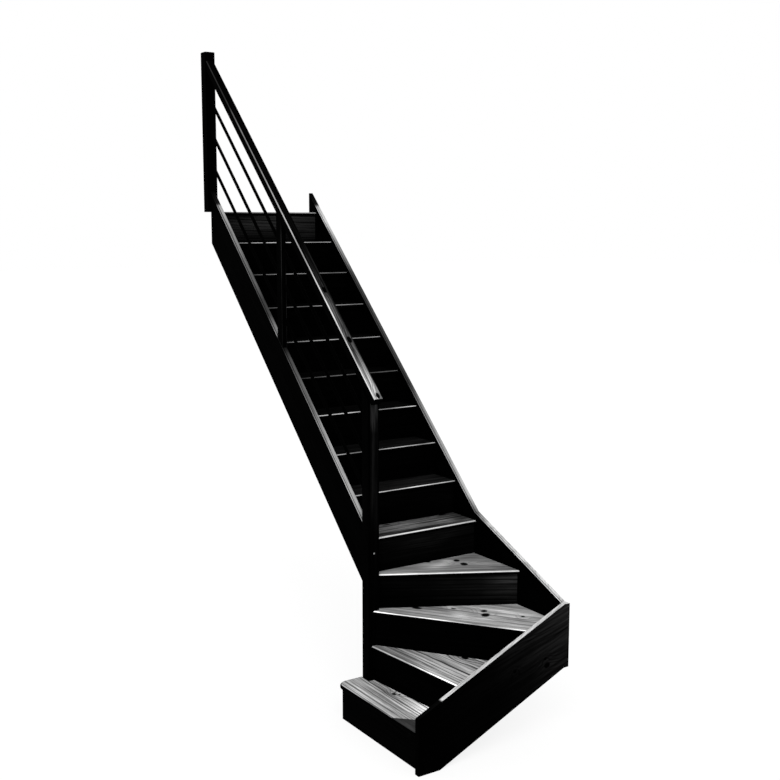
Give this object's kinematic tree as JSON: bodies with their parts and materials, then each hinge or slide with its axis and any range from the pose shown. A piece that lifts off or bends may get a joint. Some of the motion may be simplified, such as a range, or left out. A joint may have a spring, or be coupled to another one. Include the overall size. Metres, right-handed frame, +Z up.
{
  "type": "quarter turn staircase",
  "caption": "Timber staircase with a winder quarter turn at the foot, housed strings, closed risers and a handrail with parallel bars along the inner side.",
  "frame": {"origin": "on the plumb head of the upper wall string, on its centre line, at the level of the upper floor", "axes": "+Z up; +Y square out of the plumb head, the way the straight flight climbs; +X towards the wall beside the straight flight"},
  "size_m": [0.981, 2.809, 3.84],
  "materials": {
    "tread_wood": "planed pale softwood",
    "riser_wood": "dark stained softwood board",
    "frame_wood": "dark stained softwood",
    "bar_wood": "dark stained turned bar"
  },
  "bodies": {
    "root": {"guard_bar_1": "bar_wood", "guard_bar_2": "bar_wood", "guard_bar_3": "bar_wood", "handrail": "frame_wood", "inner_string": "frame_wood", "landing_nosing": "tread_wood", "middle_post": "frame_wood", "newel_bottom": "frame_wood", "newel_top": "frame_wood", "riser_01": "riser_wood", "riser_01_return": "riser_wood", "riser_02": "riser_wood", "riser_03": "riser_wood", "riser_04": "riser_wood", "riser_05": "riser_wood", "riser_06": "riser_wood", "riser_07": "riser_wood", "riser_08": "riser_wood", "riser_09": "riser_wood", "riser_10": "riser_wood", "riser_11": "riser_wood", "riser_12": "riser_wood", "riser_13": "riser_wood", "riser_14": "riser_wood", "tread_01": "tread_wood", "tread_02": "tread_wood", "tread_03": "tread_wood", "tread_04": "tread_wood", "tread_05": "tread_wood", "tread_06": "tread_wood", "tread_07": "tread_wood", "tread_08": "tread_wood", "tread_09": "tread_wood", "tread_10": "tread_wood", "tread_11": "tread_wood", "tread_12": "tread_wood", "tread_13": "tread_wood", "wall_string_lower": "frame_wood", "wall_string_upper": "frame_wood"}
  },
  "joints": []
}
